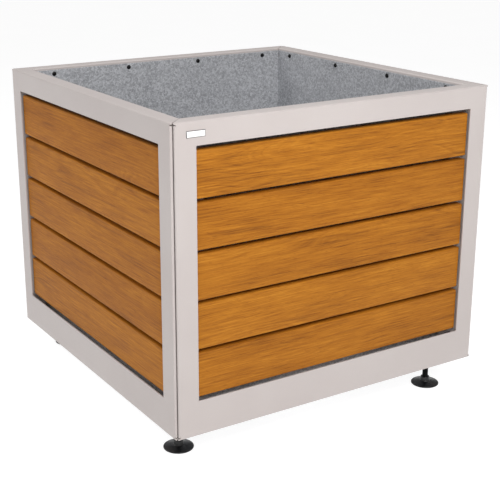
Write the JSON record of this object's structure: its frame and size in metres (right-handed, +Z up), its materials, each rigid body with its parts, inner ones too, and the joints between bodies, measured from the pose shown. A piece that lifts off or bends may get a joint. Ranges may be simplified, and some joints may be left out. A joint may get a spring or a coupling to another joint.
{
  "type": "street planter box",
  "caption": "Square street planter: mitred folded steel frames filled with horizontal hardwood slats, a galvanised liner and screw-adjusted levelling feet.",
  "frame": {"origin": "on the ground, at the centre of the square base", "axes": "+Z up; the front, with the blank plate, faces -Y; +X is to the right as seen from the front"},
  "size_m": [0.7, 0.7011, 0.625],
  "materials": {
    "powder_coat": "fine satin powder coat, warm light grey",
    "hardwood": "oiled reddish brown hardwood",
    "galvanised_sheet": "hot-dip galvanised, soft spangle",
    "zinc_plated_steel": "zinc plated, dulled",
    "black_nylon": "moulded, satin",
    "white_enamel": "plain, no marking"
  },
  "bodies": {
    "planter_body": {"frame_front": "powder_coat", "frame_right": "powder_coat", "frame_back": "powder_coat", "frame_left": "powder_coat", "slat_front_1": "hardwood", "slat_front_2": "hardwood", "slat_front_3": "hardwood", "slat_front_4": "hardwood", "slat_front_5": "hardwood", "slat_right_1": "hardwood", "slat_right_2": "hardwood", "slat_right_3": "hardwood", "slat_right_4": "hardwood", "slat_right_5": "hardwood", "slat_back_1": "hardwood", "slat_back_2": "hardwood", "slat_back_3": "hardwood", "slat_back_4": "hardwood", "slat_back_5": "hardwood", "slat_left_1": "hardwood", "slat_left_2": "hardwood", "slat_left_3": "hardwood", "slat_left_4": "hardwood", "slat_left_5": "hardwood", "slat_rail_front_left": "powder_coat", "slat_rail_front_right": "powder_coat", "slat_rail_right_left": "powder_coat", "slat_rail_right_right": "powder_coat", "slat_rail_back_left": "powder_coat", "slat_rail_back_right": "powder_coat", "slat_rail_left_left": "powder_coat", "slat_rail_left_right": "powder_coat", "liner_wall_front": "galvanised_sheet", "liner_wall_right": "galvanised_sheet", "liner_wall_back": "galvanised_sheet", "liner_wall_left": "galvanised_sheet", "liner_tray": "galvanised_sheet", "floor_bearer_left": "galvanised_sheet", "floor_bearer_right": "galvanised_sheet", "corner_plate_front_right": "zinc_plated_steel", "corner_plate_back_right": "zinc_plated_steel", "corner_plate_back_left": "zinc_plated_steel", "corner_plate_front_left": "zinc_plated_steel", "weld_nut_front_right": "zinc_plated_steel", "weld_nut_back_right": "zinc_plated_steel", "weld_nut_back_left": "zinc_plated_steel", "weld_nut_front_left": "zinc_plated_steel", "lock_nut_front_right": "zinc_plated_steel", "lock_nut_back_right": "zinc_plated_steel", "lock_nut_back_left": "zinc_plated_steel", "lock_nut_front_left": "zinc_plated_steel", "blank_nameplate": "white_enamel"},
    "stud_front_right": {"foot_stud_front_right": "zinc_plated_steel"},
    "pad_front_right": {"foot_pad_front_right": "black_nylon"},
    "stud_back_right": {"foot_stud_back_right": "zinc_plated_steel"},
    "pad_back_right": {"foot_pad_back_right": "black_nylon"},
    "stud_back_left": {"foot_stud_back_left": "zinc_plated_steel"},
    "pad_back_left": {"foot_pad_back_left": "black_nylon"},
    "stud_front_left": {"foot_stud_front_left": "zinc_plated_steel"},
    "pad_front_left": {"foot_pad_front_left": "black_nylon"}
  },
  "joints": [
    {"name": "foot_height_front_right", "type": "slide", "parent": "planter_body", "child": "stud_front_right", "axis": [0, 0, 1], "range_m": [-0.015, 0.015]},
    {"name": "pad_swivel_front_right", "type": "hinge", "parent": "stud_front_right", "child": "pad_front_right", "pos_m": [0.2705, -0.3025, 0.0065], "axis": [0, 0, 1], "continuous": true},
    {"name": "foot_height_back_right", "type": "slide", "parent": "planter_body", "child": "stud_back_right", "axis": [0, 0, 1], "range_m": [-0.015, 0.015]},
    {"name": "pad_swivel_back_right", "type": "hinge", "parent": "stud_back_right", "child": "pad_back_right", "pos_m": [0.3025, 0.2705, 0.0065], "axis": [0, 0, 1], "continuous": true},
    {"name": "foot_height_back_left", "type": "slide", "parent": "planter_body", "child": "stud_back_left", "axis": [0, 0, 1], "range_m": [-0.015, 0.015]},
    {"name": "pad_swivel_back_left", "type": "hinge", "parent": "stud_back_left", "child": "pad_back_left", "pos_m": [-0.2705, 0.3025, 0.0065], "axis": [0, 0, 1], "continuous": true},
    {"name": "foot_height_front_left", "type": "slide", "parent": "planter_body", "child": "stud_front_left", "axis": [0, 0, 1], "range_m": [-0.015, 0.015]},
    {"name": "pad_swivel_front_left", "type": "hinge", "parent": "stud_front_left", "child": "pad_front_left", "pos_m": [-0.3025, -0.2705, 0.0065], "axis": [0, 0, 1], "continuous": true}
  ]
}
